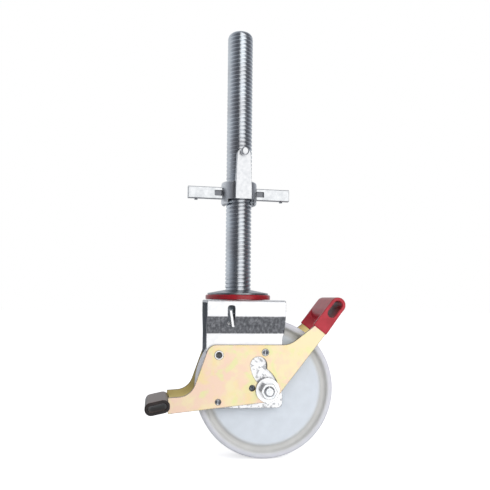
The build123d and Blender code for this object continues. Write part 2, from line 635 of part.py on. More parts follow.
def plate_outline():
    """Draw a brake plate: body, arm up to the red pedal and arm out to the black one."""
    black_x, black_height = BLACK_PEDAL[0] + BLACK_ARM_BACK, BLACK_PEDAL[1]
    corners = [
        ((PLATE_TOP_LEFT, PLATE_TOP), 14.0),
        (PLATE_ELBOW, 25.0),
        ((black_x, black_height + BLACK_ARM_UP), 0.6),
        ((black_x, black_height - BLACK_ARM_DOWN), 0.6),
        (PLATE_HEEL, 16.0),
        (along_red_arm(-RED_SLEEVE_BACK, -RED_W / 2 - RED_ARM_DROP), 60.0),
        (along_red_arm(0, -RED_W / 2), 0),
        (along_red_arm(0, RED_W / 2), 0),
        (along_red_arm(-RED_SLEEVE_BACK, RED_W / 2 - RED_ARM_DROP), 15.0),
        ((PLATE_TOP_RIGHT, PLATE_TOP), 30.0),
    ]
    points = [point for point, _ in corners]
    bends = [bend for _, bend in corners]
    body = make_face(FilletPolyline(*points, radius=bends, close=True))
    red_end = oval(RED_PEDAL, RED_TILT, RED_LENGTH, RED_W)
    black_end = oval(BLACK_PEDAL, BLACK_TILT, BLACK_LENGTH, BLACK_W)
    return body + red_end + black_end


def plate_slot():
    """Draw the slot for the axle's collar: wide foot, curved throat and round upper lobe."""
    lobe_left, lobe_right = (LOBE[0] - LOBE_R, LOBE[1]), (LOBE[0] + LOBE_R, LOBE[1])
    throat = make_face(
        ThreePointArc(lobe_left, *THROAT_LEFT)
        + Polyline(THROAT_LEFT[-1], (-SLOT_FOOT_R, 0), (SLOT_FOOT_R, 0), THROAT_RIGHT[0])
        + ThreePointArc(*THROAT_RIGHT)
        + Polyline(THROAT_RIGHT[-1], lobe_right, lobe_left)
    )
    return throat + at(LOBE, Circle(LOBE_R)) + Circle(SLOT_FOOT_R)


def make_plate(side):
    """Cut one brake plate from sheet."""
    outline = plate_outline() - plate_slot() - at(PIVOT, Circle(PIVOT_R + PIVOT_PLAY))
    outline = outline - at(STUD, Circle(STUD_R)) - at(RIVET, Circle(RIVET_R))
    outline = outline - at(PLATE_HOLE, Circle(PLATE_HOLE_R))
    outline = outline - oval(RED_PEDAL, RED_TILT, RED_LENGTH - 2 * TUBE_WALL, RED_W - 2 * TUBE_WALL)
    black_bore = (BLACK_LENGTH - 2 * TUBE_WALL, BLACK_W - 2 * TUBE_WALL)
    outline = outline - oval(BLACK_PEDAL, BLACK_TILT, *black_bore)
    return side_slab(outline, side, PLATE_IN, PLATE_OUT)


def pedal_tube(point, tilt, length, width):
    """Make the oval steel tube of a pedal, from plate to plate."""
    ring = oval(point, tilt, length, width)
    ring = ring - oval(point, tilt, length - 2 * TUBE_WALL, width - 2 * TUBE_WALL)
    return slab(ring, -PLATE_IN, PLATE_IN)


def pedal_coat(point, tilt, length, width, arm, metal):
    """Dip a pedal: a skin round the tube, in its bore and over both arm ends."""
    skin = slab(oval(point, tilt, length + 2 * COAT, width + 2 * COAT), -PLATE_IN, PLATE_IN)
    ends = oval(point, tilt, length + 2 * COAT, width + 2 * COAT) + arm
    for side in (FRONT, REAR):
        skin = skin + side_slab(ends, side, PLATE_IN - COAT, PLATE_OUT + COAT)
    bore = oval(point, tilt, length - 2 * TUBE_WALL - 2 * COAT, width - 2 * TUBE_WALL - 2 * COAT)
    skin = skin - slab(bore, -PLATE_OUT - 2 * COAT, PLATE_OUT + 2 * COAT)
    for piece in metal:
        skin = skin - piece
    return skin


def red_sleeve():
    """Draw the part of the red coat that runs back over the arm."""
    half = RED_W / 2 + COAT
    corners = [
        along_red_arm(-RED_SLEEVE_BACK, half),
        along_red_arm(0, half),
        along_red_arm(0, -half),
        along_red_arm(-RED_SLEEVE_BACK, -half - RED_ARM_DROP),
    ]
    return make_face(Polyline(*corners, close=True))


def make_pivot_pin(side):
    """Make the stub pin that a plate turns on: headed inside its leg, proud of its plate."""
    pin = side_slab(at(PIVOT, Circle(PIVOT_R)), side, LEG_IN, PLATE_OUT + PIVOT_END)
    head = side_slab(at(PIVOT, Circle(PIVOT_HEAD_R)), side, LEG_IN - PIVOT_HEAD_T, LEG_IN)
    return pin + head


def make_guide_rivet(side):
    """Make the rivet whose inner button keeps its plate off the leg."""
    shank = side_slab(at(RIVET, Circle(RIVET_R)), side, PLATE_IN, PLATE_OUT + 0.5)
    button = side_slab(at(RIVET, Circle(RIVET_BUTTON_R)), side, PLATE_IN - RIVET_BUTTON_T, PLATE_IN)
    return shank + button


def save_brake_frame():
    """Write the plates, the pedals and what is riveted into the plates."""
    plates = {side: make_plate(side) for side in (FRONT, REAR)}
    for side, plate in plates.items():
        name = side_name(side)
        stud = at(STUD, Circle(STUD_R) - Circle(STUD_BORE_R))
        save(f"brake_plate_{name}", plate)
        save(f"drive_stud_{name}", side_slab(stud, side, CHEEK_IN + STUD_SHY, PLATE_OUT + STUD_END))
        save(f"guide_rivet_{name}", make_guide_rivet(side))
        save(f"pivot_pin_{name}", make_pivot_pin(side))
    red = (RED_PEDAL, RED_TILT, RED_LENGTH, RED_W)
    black = (BLACK_PEDAL, BLACK_TILT, BLACK_LENGTH, BLACK_W)
    red_tube, black_tube = pedal_tube(*red), pedal_tube(*black)
    metal = list(plates.values())
    save("red_pedal_tube", red_tube)
    save("black_pedal_tube", black_tube)
    save("red_pedal_coat", pedal_coat(*red, red_sleeve(), metal + [red_tube]))
    save("black_pedal_coat", pedal_coat(*black, Sketch(), metal + [black_tube]))


# ---- brake shoe ----


def cam_slot():
    """Draw the slot in the shoe's cheeks that turns the studs' sweep into the shoe's drop."""
    path = []
    for part in (0.0, 0.5, 1.0):
        turn = part * BRAKE_TURN
        x, height = turned_about_pivot(STUD, turn)
        path.append((x, height + SHOE_DROP_RATE * turn))
    return SlotArc(ThreePointArc(*path), 2 * (STUD_R + STUD_SLOT_PLAY))


def blade(low, high):
    """Draw the edge view of the leaning blade between two heights."""
    half = BLADE_T / 2 / cos(BLADE_LEAN)
    low_x = BLADE_X - (low - HOOK_BOTTOM) * tan(BLADE_LEAN)
    high_x = BLADE_X - (high - HOOK_BOTTOM) * tan(BLADE_LEAN)
    corners = [(low_x - half, low), (low_x + half, low), (high_x + half, high), (high_x - half, high)]
    return make_face(Polyline(*corners, close=True))


def make_brake_shoe():
    """Press the shoe: curved pad, two slotted cheeks and a blade with hooked ears."""
    drop = SHOE_DROP_RATE * BRAKE_TURN
    inner_r = WHEEL_R + SHOE_GAP
    outer_r = inner_r + SHOE_T

    def about_axle(angle, reach):
        """Give a point of the raised shoe by its angle and its distance from the axle."""
        return (reach * cos(radians(angle)), drop + reach * sin(radians(angle)))

    wedge = make_face(
        Polyline((0, drop), about_axle(SHOE_FROM, 2 * WHEEL_R), about_axle(SHOE_TO, 2 * WHEEL_R), close=True)
    )
    pad = at((0, drop), Circle(outer_r) - Circle(inner_r)) & wedge
    shoe = slab(pad, -CHEEK_OUT, CHEEK_OUT)
    top = [about_axle(angle, outer_r + SHOE_T) for angle in (CHEEK_FROM, CHEEK_TO)]
    bends = [0, 8, 6, 8, 6, 6, 8, 0]
    cheek = make_face(FilletPolyline(top[1], *CHEEK_FRONT, *CHEEK_BACK, top[0], radius=bends, close=True))
    cheek = (cheek & at((0, drop), Circle(outer_r))) - cam_slot()
    in_pad = drop + sqrt((inner_r + SHOE_T / 2) ** 2 - BLADE_X**2)
    shoe = shoe + slab(blade(in_pad, HEAD_TOP - BLADE_DOWN), -CHEEK_OUT, CHEEK_OUT)
    for side in (FRONT, REAR):
        shoe = shoe + side_slab(cheek, side, CHEEK_IN, CHEEK_OUT)
        shoe = shoe + side_slab(blade(EAR_BOTTOM, EAR_TOP), side, CHEEK_IN, EAR_REACH)
        shoe = shoe + side_slab(blade(HOOK_BOTTOM, EAR_TOP), side, EAR_REACH - HOOK_T, EAR_REACH)
    return shoe


save("wheel", make_wheel())
save("bearing_rollers", make_rollers())
save("roller_cage", make_roller_cage())
save_axle()
save("fork", make_fork())
save_swivel_head()
nut_turn = Rot(0, 0, NUT_TURN)
save("adjusting_nut", nut_turn * make_adjusting_nut())
save("lever_pin", nut_turn * lever_pin(LEVER_PIN_R, LEVER_FOOT_W))
save("locking_lever", nut_turn * make_locking_lever())
save("locking_stud", nut_turn * make_locking_stud())
save_brake_frame()
save("brake_shoe", make_brake_shoe())
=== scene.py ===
"""Levelling castor: its finishes, the thread of its spindle, and the studio it stands in.

Everything is in metres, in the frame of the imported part: the origin is on the spindle's axis in
the plane of the nut's top face, +Z points up the spindle, and the axle lies along Y.
"""

from math import cos, pi, radians, sin

import bmesh
import bpy
from mathutils import Matrix, Vector


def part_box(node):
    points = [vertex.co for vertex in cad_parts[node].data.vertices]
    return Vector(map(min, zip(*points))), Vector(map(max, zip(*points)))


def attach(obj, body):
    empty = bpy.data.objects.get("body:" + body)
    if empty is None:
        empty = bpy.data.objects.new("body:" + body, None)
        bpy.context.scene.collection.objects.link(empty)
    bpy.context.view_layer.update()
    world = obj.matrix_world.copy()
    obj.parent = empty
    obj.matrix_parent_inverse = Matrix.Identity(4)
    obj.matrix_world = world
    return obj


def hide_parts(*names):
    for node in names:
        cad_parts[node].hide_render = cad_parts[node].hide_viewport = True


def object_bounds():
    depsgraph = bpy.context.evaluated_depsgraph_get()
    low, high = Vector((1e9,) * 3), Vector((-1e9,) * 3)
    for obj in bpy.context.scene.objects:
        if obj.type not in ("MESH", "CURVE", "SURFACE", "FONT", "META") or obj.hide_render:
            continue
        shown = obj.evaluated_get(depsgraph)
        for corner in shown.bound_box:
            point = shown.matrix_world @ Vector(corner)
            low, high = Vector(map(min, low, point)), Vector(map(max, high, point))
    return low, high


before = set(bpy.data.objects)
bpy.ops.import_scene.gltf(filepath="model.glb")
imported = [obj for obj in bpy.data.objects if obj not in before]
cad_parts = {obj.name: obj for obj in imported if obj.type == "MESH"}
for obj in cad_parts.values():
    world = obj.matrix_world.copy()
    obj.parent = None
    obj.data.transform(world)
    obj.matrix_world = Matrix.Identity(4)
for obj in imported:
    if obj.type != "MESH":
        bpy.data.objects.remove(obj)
cad_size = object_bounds()

# ---- Spindle ----
# A bar of steel with a coarse 6 mm thread rolled along it, and a bright zinc plating. Rolling
# leaves broad crests and narrow shallow roots, so it shines in long upright streaks.

MM = 0.001
# painted shade along the edges of zinc
EDGE_SHADE_GREY = "#4A4D52"  # of zinc along an edge
EDGE_SAMPLES = 6  # of the shader's round edges


def linear(hex_colour):
    """Turn an sRGB hex colour into the linear colour that Blender works in."""
    parts = [int(hex_colour[i : i + 2], 16) / 255 for i in (1, 3, 5)]
    return (*[c / 12.92 if c <= 0.04045 else ((c + 0.055) / 1.055) ** 2.4 for c in parts], 1.0)


def put(tree, kind, inputs=None, stops=None, **settings):
    """Add a node. Inputs take a value or another node's socket, and stops fill a colour ramp."""
    node = tree.nodes.new("ShaderNode" + kind)
    for name, value in settings.items():
        setattr(node, name, value)
    for name, value in (inputs or {}).items():
        if isinstance(value, bpy.types.NodeSocket):
            tree.links.new(value, node.inputs[name])
        else:
            node.inputs[name].default_value = value
    for index, (place, colour) in enumerate(stops or []):
        ramp = node.color_ramp.elements
        stop = ramp[index] if index < 2 else ramp.new(place)
        stop.position, stop.color = place, colour
    return node


def begin(name, **values):
    """Start a material and give its tree, its shader and the piece's own coordinates."""
    material = bpy.data.materials.new(name)
    material.use_nodes = True
    tree = material.node_tree
    shader = tree.nodes["Principled BSDF"]
    for socket, value in values.items():
        shader.inputs[socket.replace("_", " ")].default_value = value
    return material, tree, shader, put(tree, "TexCoord")


def per(millimetres):
    """Give a texture's scale from the real size of its grain."""
    return 1 / (millimetres * MM)


def soften(tree, shader, radius, bump=None):
    """Round the look of a piece's edges by a real radius, with a bump on top if there is one."""
    edge = put(tree, "Bevel", {"Radius": radius * MM}, samples=EDGE_SAMPLES)
    normal = edge.outputs[0]
    if bump:
        height, depth = bump
        relief = {"Height": height, "Distance": depth * MM, "Strength": 1.0, "Normal": normal}
        normal = put(tree, "Bump", relief).outputs[0]
    tree.links.new(normal, shader.inputs["Normal"])


def painted_edge_shade(tree, colour, dark, width):
    """Darken the last bit of each face before an edge: painted shade along the edges."""
    rounded = put(tree, "Bevel", {"Radius": width * MM}, samples=EDGE_SAMPLES)
    flat = put(tree, "NewGeometry").outputs["True Normal"]
    turned = put(tree, "VectorMath", {0: rounded.outputs[0], 1: flat}, operation="DOT_PRODUCT")
    turn = {"Value": turned.outputs["Value"], "From Min": 0.99, "From Max": 0.8}
    near = put(tree, "MapRange", turn)
    # a Mix node of colours takes its share at 0, what lies under at 6 and what lies over at 7
    mix = {0: near.outputs[0], 6: colour, 7: linear(dark)}
    return put(tree, "Mix", mix, data_type="RGBA").outputs[2]


def dress(material, *nodes):
    """Give CAD nodes their finish."""
    for name in nodes:
        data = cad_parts[name].data
        data.materials.clear()
        data.materials.append(material)


def bright_zinc(name, dark, light, grain, rough, edge_shade_width=0.0):
    """Zinc plating on steel: a bluish metal, cloudy from the bath, with painted shade along its edges.
    """
    material, tree, shader, coords = begin(name, Metallic=1.0, Roughness=rough)
    place = coords.outputs["Object"]
    cloud = put(tree, "TexNoise", {"Vector": place, "Scale": per(grain), "Detail": 6.0})
    stops = [(0.35, linear(dark)), (0.65, linear(light))]
    tint = put(tree, "ValToRGB", {"Fac": cloud.outputs["Fac"]}, stops=stops).outputs[0]
    # painted shade along the edges
    if edge_shade_width:
        tint = painted_edge_shade(tree, tint, EDGE_SHADE_GREY, edge_shade_width)
    tree.links.new(tint, shader.inputs["Base Color"])
    return material, tree, shader, tint


PITCH, THREAD_DEPTH = 6.0 * MM, 1.3 * MM
ROOT_HALF, FLANK = 0.2 * MM, 1.5 * MM  # along the bar
NOSE_R = 11.0 * MM  # the round of the bar's upper end
KINGPIN_R = 10.0 * MM
INTO_FLANGE, INTO_THREAD = 1.0 * MM, 2.0 * MM  # how far thread and kingpin run on out of sight
STEPS, FLANK_STEPS = 72, 4  # round one turn, and up one flank

spindle_low, spindle_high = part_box("spindle")
CREST_R = spindle_high.x
thread_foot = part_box("head_flange")[1].z - INTO_FLANGE


def thread_profile():
    """One pitch of the rolled thread, as (height, radius) from the middle of a root."""
    rise = []
    for k in range(FLANK_STEPS + 1):
        share = k / FLANK_STEPS
        eased = share * share * (3 - 2 * share)
        rise.append((ROOT_HALF + share * FLANK, CREST_R - (1 - eased) * THREAD_DEPTH))
    fall = [(PITCH - height, radius) for height, radius in reversed(rise)]
    return [(0.0, CREST_R - THREAD_DEPTH), *rise, (PITCH / 2, CREST_R), *fall]


def crest_radius(z):
    """The bar's outer radius, drawn in where its upper end is round."""
    into_nose = max(0.0, z - spindle_high.z + NOSE_R)
    return CREST_R - NOSE_R + (max(0.0, NOSE_R**2 - into_nose**2)) ** 0.5


def thread_point(step, height, radius):
    """Place a point of the profile on the helix, cut off at the bar's two ends."""
    z = thread_foot + (step / STEPS - 1) * PITCH + height
    z = min(max(z, thread_foot), spindle_high.z)
    radius = min(radius, crest_radius(z))
    angle = 2 * pi * step / STEPS
    return (radius * cos(angle), radius * sin(angle), z)


thread = bmesh.new()
profile = thread_profile()
turns = int((spindle_high.z - thread_foot) / PITCH) + 3
rows = []
for step in range(turns * STEPS):
    rows.append([thread.verts.new(thread_point(step, height, radius)) for height, radius in profile])
for step in range(len(rows) - 1):
    here, after = rows[step], rows[step + 1]
    if step + 1 + STEPS < len(rows):
        here, after = here + [rows[step + STEPS][0]], after + [rows[step + 1 + STEPS][0]]
    for k in range(len(here) - 1):
        thread.faces.new((here[k], after[k], after[k + 1], here[k + 1]))
bmesh.ops.remove_doubles(thread, verts=thread.verts, dist=1e-6)
bmesh.ops.dissolve_degenerate(thread, dist=1e-6, edges=thread.edges)
# the two ends of the bar, and the kingpin below the flange
top_r = CREST_R - NOSE_R
cap = bmesh.ops.create_circle(thread, cap_ends=True, radius=top_r, segments=STEPS)["verts"]
bmesh.ops.translate(thread, verts=cap, vec=(0, 0, spindle_high.z))
pin_length = thread_foot + INTO_THREAD - spindle_low.z
pin_middle = Matrix.Translation((0, 0, spindle_low.z + pin_length / 2))
bmesh.ops.create_cone(
    thread,
    cap_ends=True,
    segments=STEPS,
    radius1=KINGPIN_R,
    radius2=KINGPIN_R,
    depth=pin_length,
    matrix=pin_middle,
)
mesh = bpy.data.meshes.new("spindle_thread")
thread.to_mesh(mesh)
thread.free()
mesh.shade_smooth()
mesh.set_sharp_from_angle(angle=radians(40))
spindle_thread = bpy.data.objects.new("spindle_thread", mesh)
bpy.context.collection.objects.link(spindle_thread)

# bright zinc on a rolled thread: smooth, with slow clouds along the bar
rolled_zinc = bright_zinc("bright zinc on rolled steel", "#CBCDD1", "#DCE3E9", 40, 0.22)[0]
mesh.materials.append(rolled_zinc)
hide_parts("spindle")
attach(spindle_thread, "stem")

# ---- Swivel head ----
# A turned flange on the spindle's foot covers the upper row of balls, over a ring of soft red
# rubber that keeps water out. Below the head a cup and a nut hold the lower row up.

turned_zinc, tree, shader, _ = bright_zinc("zinc on turned steel", "#8A9094", "#B2B8BB", 12, 0.34)
soften(tree, shader, 0.5)
dress(turned_zinc, "head_flange", "kingpin_cup", "kingpin_nut")

# moulded nitrile rubber: red, with a shine along its rounded edge
seal_rubber, tree, shader, coords = begin("moulded nitrile rubber", Roughness=0.24, IOR=1.52)
bloom = put(tree, "TexNoise", {"Vector": coords.outputs["Object"], "Scale": per(8), "Detail": 5.0})
rubber_stops = [(0.35, linear("#8E1620")), (0.68, linear("#A01C26"))]
rubber = put(tree, "ValToRGB", {"Fac": bloom.outputs["Fac"]}, stops=rubber_stops)
tree.links.new(rubber.outputs[0], shader.inputs["Base Color"])
soften(tree, shader, 0.8)
dress(seal_rubber, "seal_ring")

# hardened bearing steel, ground and polished, under a film of grease
bearing_steel = bright_zinc("ground bearing steel", "#B4B6BA", "#D2D4D8", 4, 0.12)[0]
dress(bearing_steel, "upper_balls", "lower_balls", "upper_race", "lower_race", "bearing_rollers")

# ---- Adjusting nut ----
# A malleable iron casting with two wings to turn it by. Its sand-cast skin shows through the
# zinc as a fine even grain. The flat in front and the bottoms of the recesses carry painted shade, dark
# grey.

NUT_TURN = radians(5)  # how far the nut is left turned on its thread
HUB_R, WING_FRONT = 27.0 * MM, -4.5 * MM  # the hub lies within one, the recesses behind the other
# its edges carry painted shade
cast_zinc, tree, shader, tint = bright_zinc("zinc on cast iron", "#D4D7DA", "#EBEDEF", 9, 0.34, edge_shade_width=0.7)
place = tree.nodes["Texture Coordinate"].outputs["Object"]
# the sand's grain is finer than this, and is drawn coarser so that it shows
skin = put(tree, "TexNoise", {"Vector": place, "Scale": per(1.2)})
from_axis = put(tree, "VectorMath", {0: place, 1: (1, 1, 0)}, operation="MULTIPLY")
radius = put(tree, "VectorMath", {0: from_axis.outputs[0]}, operation="LENGTH")
hub = put(tree, "Math", {0: radius.outputs["Value"], 1: HUB_R}, operation="LESS_THAN")
backwards = (-sin(NUT_TURN), cos(NUT_TURN), 0)
depth = put(tree, "VectorMath", {0: place, 1: backwards}, operation="DOT_PRODUCT")
facing = put(tree, "TexCoord").outputs["Normal"]
front = put(tree, "VectorMath", {0: facing, 1: backwards}, operation="DOT_PRODUCT")
front = put(tree, "Math", {0: front.outputs["Value"], 1: -0.9}, operation="LESS_THAN")
deep = put(tree, "Math", {0: depth.outputs["Value"], 1: WING_FRONT}, operation="GREATER_THAN")
recess = put(tree, "Math", {0: front.outputs[0], 1: deep.outputs[0]}, operation="MULTIPLY")
apart = put(tree, "Math", {0: hub.outputs[0], 1: recess.outputs[0]}, operation="MAXIMUM")
hub_stops = [(0.3, linear("#D8DADE")), (0.7, linear("#EEF0F2"))]
grey = put(tree, "ValToRGB", {"Fac": skin.outputs["Fac"]}, stops=hub_stops)
# painted shade: the flat in front and the bottoms of the recesses are darker than the round of the hub
flat_and_recess_shade = {0: front.outputs[0], 6: grey.outputs[0], 7: linear("#7C7E83")}
grey = put(tree, "Mix", flat_and_recess_shade, data_type="RGBA")
cast = put(tree, "Mix", {0: apart.outputs[0], 6: tint, 7: grey.outputs[2]}, data_type="RGBA")
# painted shade: the faces that look down are darker
upright = put(tree, "SeparateXYZ", {0: facing})
below = put(tree, "MapRange", {"Value": upright.outputs["Z"], "From Min": -0.5, "From Max": -0.9})
shaded_below = {0: below.outputs[0], 6: cast.outputs[2], 7: linear("#8E9094")}
cast = put(tree, "Mix", shaded_below, data_type="RGBA")
tree.links.new(cast.outputs[2], shader.inputs["Base Color"])
soften(tree, shader, 1.2, (skin.outputs["Fac"], 0.12))
dress(cast_zinc, "adjusting_nut")

# ---- Locking lever ----
# A lever pressed from sheet steel, on a pin through the nut's lug, with a riveted stud at its
# tip. Its zinc is fresh and bright.

lever_finish = ("#D4D6D9", "#E4E5E7", 5, 0.3)
# its edges carry painted shade
pressed_zinc, tree, shader, _ = bright_zinc("bright zinc on pressed steel", *lever_finish, edge_shade_width=0.7)
soften(tree, shader, 0.9)
dress(pressed_zinc, "locking_lever", "locking_stud", "lever_pin")

# ---- Fork and brake shoe ----
# Folded from 4 mm sheet that was dipped in molten zinc, so broad pale spangles lie across it.
# The slanting joggles lean downwards: they are rougher, and their dark mottled grey is painted shade.

CLEAN_ABOVE, ASHY_BELOW = -245 * MM, -255 * MM  # heights between which the ash specks begin
INWARD = -0.01  # metres: below this, where a face is times the way it looks means inwards
galvanised, tree, shader, coords = begin("hot-dip galvanised sheet", Metallic=0.8)
place = coords.outputs["Object"]
spangle = put(tree, "TexVoronoi", {"Vector": place, "Scale": per(7)})
grey = put(tree, "RGBToBW", {"Color": spangle.outputs["Color"]})
sheet_stops = [(0.0, linear("#F0F1F3")), (1.0, linear("#FCFCFD"))]
sheet = put(tree, "ValToRGB", {"Fac": grey.outputs[0]}, stops=sheet_stops)
specks = put(tree, "TexNoise", {"Vector": place, "Scale": per(4.5), "Detail": 3.0, "Roughness": 0.6})
speck = {"Value": specks.outputs["Fac"], "From Min": 0.52, "From Max": 0.6, "To Max": 0.62}
speck = put(tree, "MapRange", speck)
# only the lower half of the legs was speckled by ash from the bath
height = put(tree, "SeparateXYZ", {0: place})
ashy = {"Value": height.outputs["Z"], "From Min": CLEAN_ABOVE, "From Max": ASHY_BELOW}
ashy = put(tree, "MapRange", ashy)
speck = put(tree, "Math", {0: speck.outputs[0], 1: ashy.outputs[0]}, operation="MULTIPLY")
speckled = {0: speck.outputs[0], 6: sheet.outputs[0], 7: linear("#7E8186")}
sheet = put(tree, "Mix", speckled, data_type="RGBA")
drawn = put(tree, "Mapping", {"Vector": place, "Scale": (1, 1, 0.45)})
smear = {"Vector": drawn.outputs[0], "Scale": per(3.2), "Detail": 8.0, "Roughness": 0.65}
smear = put(tree, "TexNoise", smear)
joggle_shade_stops = [(0.32, linear("#5E6064")), (0.5, linear("#7C7E83")), (0.68, linear("#AAACB0"))]
joggle_shade = put(tree, "ValToRGB", {"Fac": smear.outputs["Fac"]}, stops=joggle_shade_stops)
lean = put(tree, "SeparateXYZ", {0: coords.outputs["Normal"]})
# the joggles are the only faces that lean downwards by about 28 degrees
ragged = put(tree, "MapRange", {"Value": smear.outputs["Fac"], "To Min": -0.08, "To Max": 0.08})
leaning = put(tree, "Math", {0: lean.outputs["Z"], 1: ragged.outputs[0]}, operation="ADD")
joggle = {"Value": leaning.outputs[0], "From Min": -0.12, "From Max": -0.38}
joggle = put(tree, "MapRange", joggle)
# an underside looks straight down, and is no joggle
steep = put(tree, "Math", {0: lean.outputs["Z"], 1: -0.75}, operation="GREATER_THAN")
joggle = put(tree, "Math", {0: joggle.outputs[0], 1: steep.outputs[0]}, operation="MULTIPLY")
# painted shade on the joggles
shaded_joggle = {0: joggle.outputs[0], 6: sheet.outputs[2], 7: joggle_shade.outputs[0]}
zinc = put(tree, "Mix", shaded_joggle, data_type="RGBA")
rough = put(tree, "MapRange", {"Value": joggle.outputs[0], "To Min": 0.3, "To Max": 0.55})
# painted shade inside the fold: the faces that look towards the middle are darker
where = put(tree, "SeparateXYZ", {0: place})
towards = put(tree, "Math", {0: where.outputs["Y"], 1: lean.outputs["Y"]}, operation="MULTIPLY")
inside = put(tree, "Math", {0: towards.outputs[0], 1: INWARD}, operation="LESS_THAN")
shaded_inner = {0: inside.outputs[0], 6: zinc.outputs[2], 7: linear("#8E949A")}
zinc = put(tree, "Mix", shaded_inner, data_type="RGBA")
# the sheared edges are plain grey
sideways = put(tree, "Math", {0: lean.outputs["X"]}, operation="ABSOLUTE")
sheared = put(tree, "Math", {0: sideways.outputs[0], 1: 0.7}, operation="GREATER_THAN")
cut = {0: sheared.outputs[0], 6: zinc.outputs[2], 7: linear("#A4A8AD")}
zinc = put(tree, "Mix", cut, data_type="RGBA")
# painted shade along the edges
tree.links.new(painted_edge_shade(tree, zinc.outputs[2], "#54585E", 1.5), shader.inputs["Base Color"])
tree.links.new(rough.outputs[0], shader.inputs["Roughness"])
soften(tree, shader, 1.2, (smear.outputs["Fac"], 0.03))
dress(galvanised, "fork", "brake_shoe")

# ---- Wheel ----
# Cast polyamide, turned true on its tread. It is white with a cold tinge, lets a little light in,
# and has handling marks that are too faint to see one by one.

nylon, tree, shader, coords = begin("cast polyamide", Roughness=0.42, IOR=1.53)
shader.inputs["Subsurface Weight"].default_value = 0.12
shader.inputs["Subsurface Radius"].default_value = (4 * MM, 4 * MM, 4 * MM)
shader.inputs["Subsurface Scale"].default_value = 1.0
place = coords.outputs["Object"]
wheel_low, wheel_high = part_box("wheel")
axle = (wheel_low + wheel_high) / 2
from_axle = put(tree, "VectorMath", {0: place, 1: tuple(axle)}, operation="SUBTRACT")
in_plane = put(tree, "VectorMath", {0: from_axle.outputs[0], 1: (1, 0, 1)}, operation="MULTIPLY")
radius = put(tree, "VectorMath", {0: in_plane.outputs[0]}, operation="LENGTH")
share = put(tree, "MapRange", {"Value": radius.outputs["Value"], "From Max": wheel_high.x - axle.x})
# the white is coldest on the web; the ring-shaped dip is darker and warmer, painted shade
web_and_dip_shade = [
    (0.0, linear("#E5ECF3")),
    (0.77, linear("#E2E9F0")),
    (0.83, linear("#D0D0CD")),
    (0.9, linear("#D8D8D5")),
    (0.94, linear("#DEDFE5")),
]
ring = put(tree, "ValToRGB", {"Fac": share.outputs[0]}, stops=web_and_dip_shade)
marks = put(tree, "TexNoise", {"Vector": place, "Scale": per(14), "Detail": 7.0})
faint = put(tree, "MapRange", {"Value": marks.outputs["Fac"], "To Min": 0.9, "To Max": 1.06})
white = put(tree, "VectorMath", {0: ring.outputs[0], "Scale": faint.outputs[0]}, operation="SCALE")
tree.links.new(white.outputs[0], shader.inputs["Base Color"])
soften(tree, shader, 0.8, (marks.outputs["Fac"], 0.05))
dress(nylon, "wheel")

# natural polyamide, moulded and unpainted: a warm ivory
ivory, tree, shader, coords = begin("natural polyamide", Roughness=0.45, IOR=1.53)
flow = put(tree, "TexNoise", {"Vector": coords.outputs["Object"], "Scale": per(10), "Detail": 4.0})
ivory_stops = [(0.35, linear("#D3CBB5")), (0.65, linear("#DED8C6"))]
tint = put(tree, "ValToRGB", {"Fac": flow.outputs["Fac"]}, stops=ivory_stops)
tree.links.new(tint.outputs[0], shader.inputs["Base Color"])
dress(ivory, "roller_cage", "thrust_washer_front", "thrust_washer_rear")

# ---- Axle, pins and rivets ----
# Turned and cold-headed steel with a thin bright zinc. Their rims carry painted shade, and the
# rivets and pins have a dished end from the punch that spread them.

washer_finish = ("#F0F1F2", "#FCFCFD", 3, 0.28)
# its edges carry painted shade
fastener_zinc, tree, shader, _ = bright_zinc("bright zinc on fasteners", *washer_finish, edge_shade_width=0.8)
soften(tree, shader, 0.7)
dress(fastener_zinc, "axle_tube")
for side in ("front", "rear"):
    dress(fastener_zinc, f"axle_washer_{side}", f"axle_collar_{side}", f"drive_stud_{side}")

# painted shade, nearly black, along the edges and corners of the bolt and its nut
bolt_finish = ("#DCDFE2", "#F2F3F4", 3, 0.24)
edge_shaded_zinc, tree, shader, tint = bright_zinc("bright zinc on the axle's bolt", *bolt_finish)
tree.links.new(painted_edge_shade(tree, tint, "#1E2024", 1.8), shader.inputs["Base Color"])
soften(tree, shader, 0.7)
dress(edge_shaded_zinc, "axle_bolt", "axle_nut")

DISH_R, DISH_DEPTH = 4.5, 2.0  # millimetres
swaged_finish = ("#B8BBBF", "#DCDEE1", 7, 0.3)
for kind in ("guide_rivet", "pivot_pin"):
    low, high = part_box(f"{kind}_front")
    # its edges carry painted shade
    swaged_zinc, tree, shader, _ = bright_zinc(f"zinc on a swaged {kind}", *swaged_finish, edge_shade_width=1.4)
    place = tree.nodes["Texture Coordinate"].outputs["Object"]
    off = put(tree, "VectorMath", {0: place, 1: tuple((low + high) / 2)}, operation="SUBTRACT")
    off = put(tree, "VectorMath", {0: off.outputs[0], 1: (1, 0, 1)}, operation="MULTIPLY")
    off = put(tree, "VectorMath", {0: off.outputs[0]}, operation="LENGTH")
    dish = {"Value": off.outputs["Value"], "From Max": DISH_R * MM}
    dish = put(tree, "MapRange", dish, interpolation_type="SMOOTHSTEP")
    soften(tree, shader, 0.9, (dish.outputs[0], DISH_DEPTH))
    dress(swaged_zinc, f"{kind}_front", f"{kind}_rear")

# ---- Brake plates and pedal tubes ----
# Laser-cut sheet with yellow passivated zinc. The passivation is a film thin enough to show
# colours, so cream runs into pink and a yellowish green, and the cut edges are brown.

passivated, tree, shader, coords = begin("yellow passivated zinc", Metallic=0.65, Roughness=0.28)
place = coords.outputs["Object"]
film = linear("#F0E1B8")
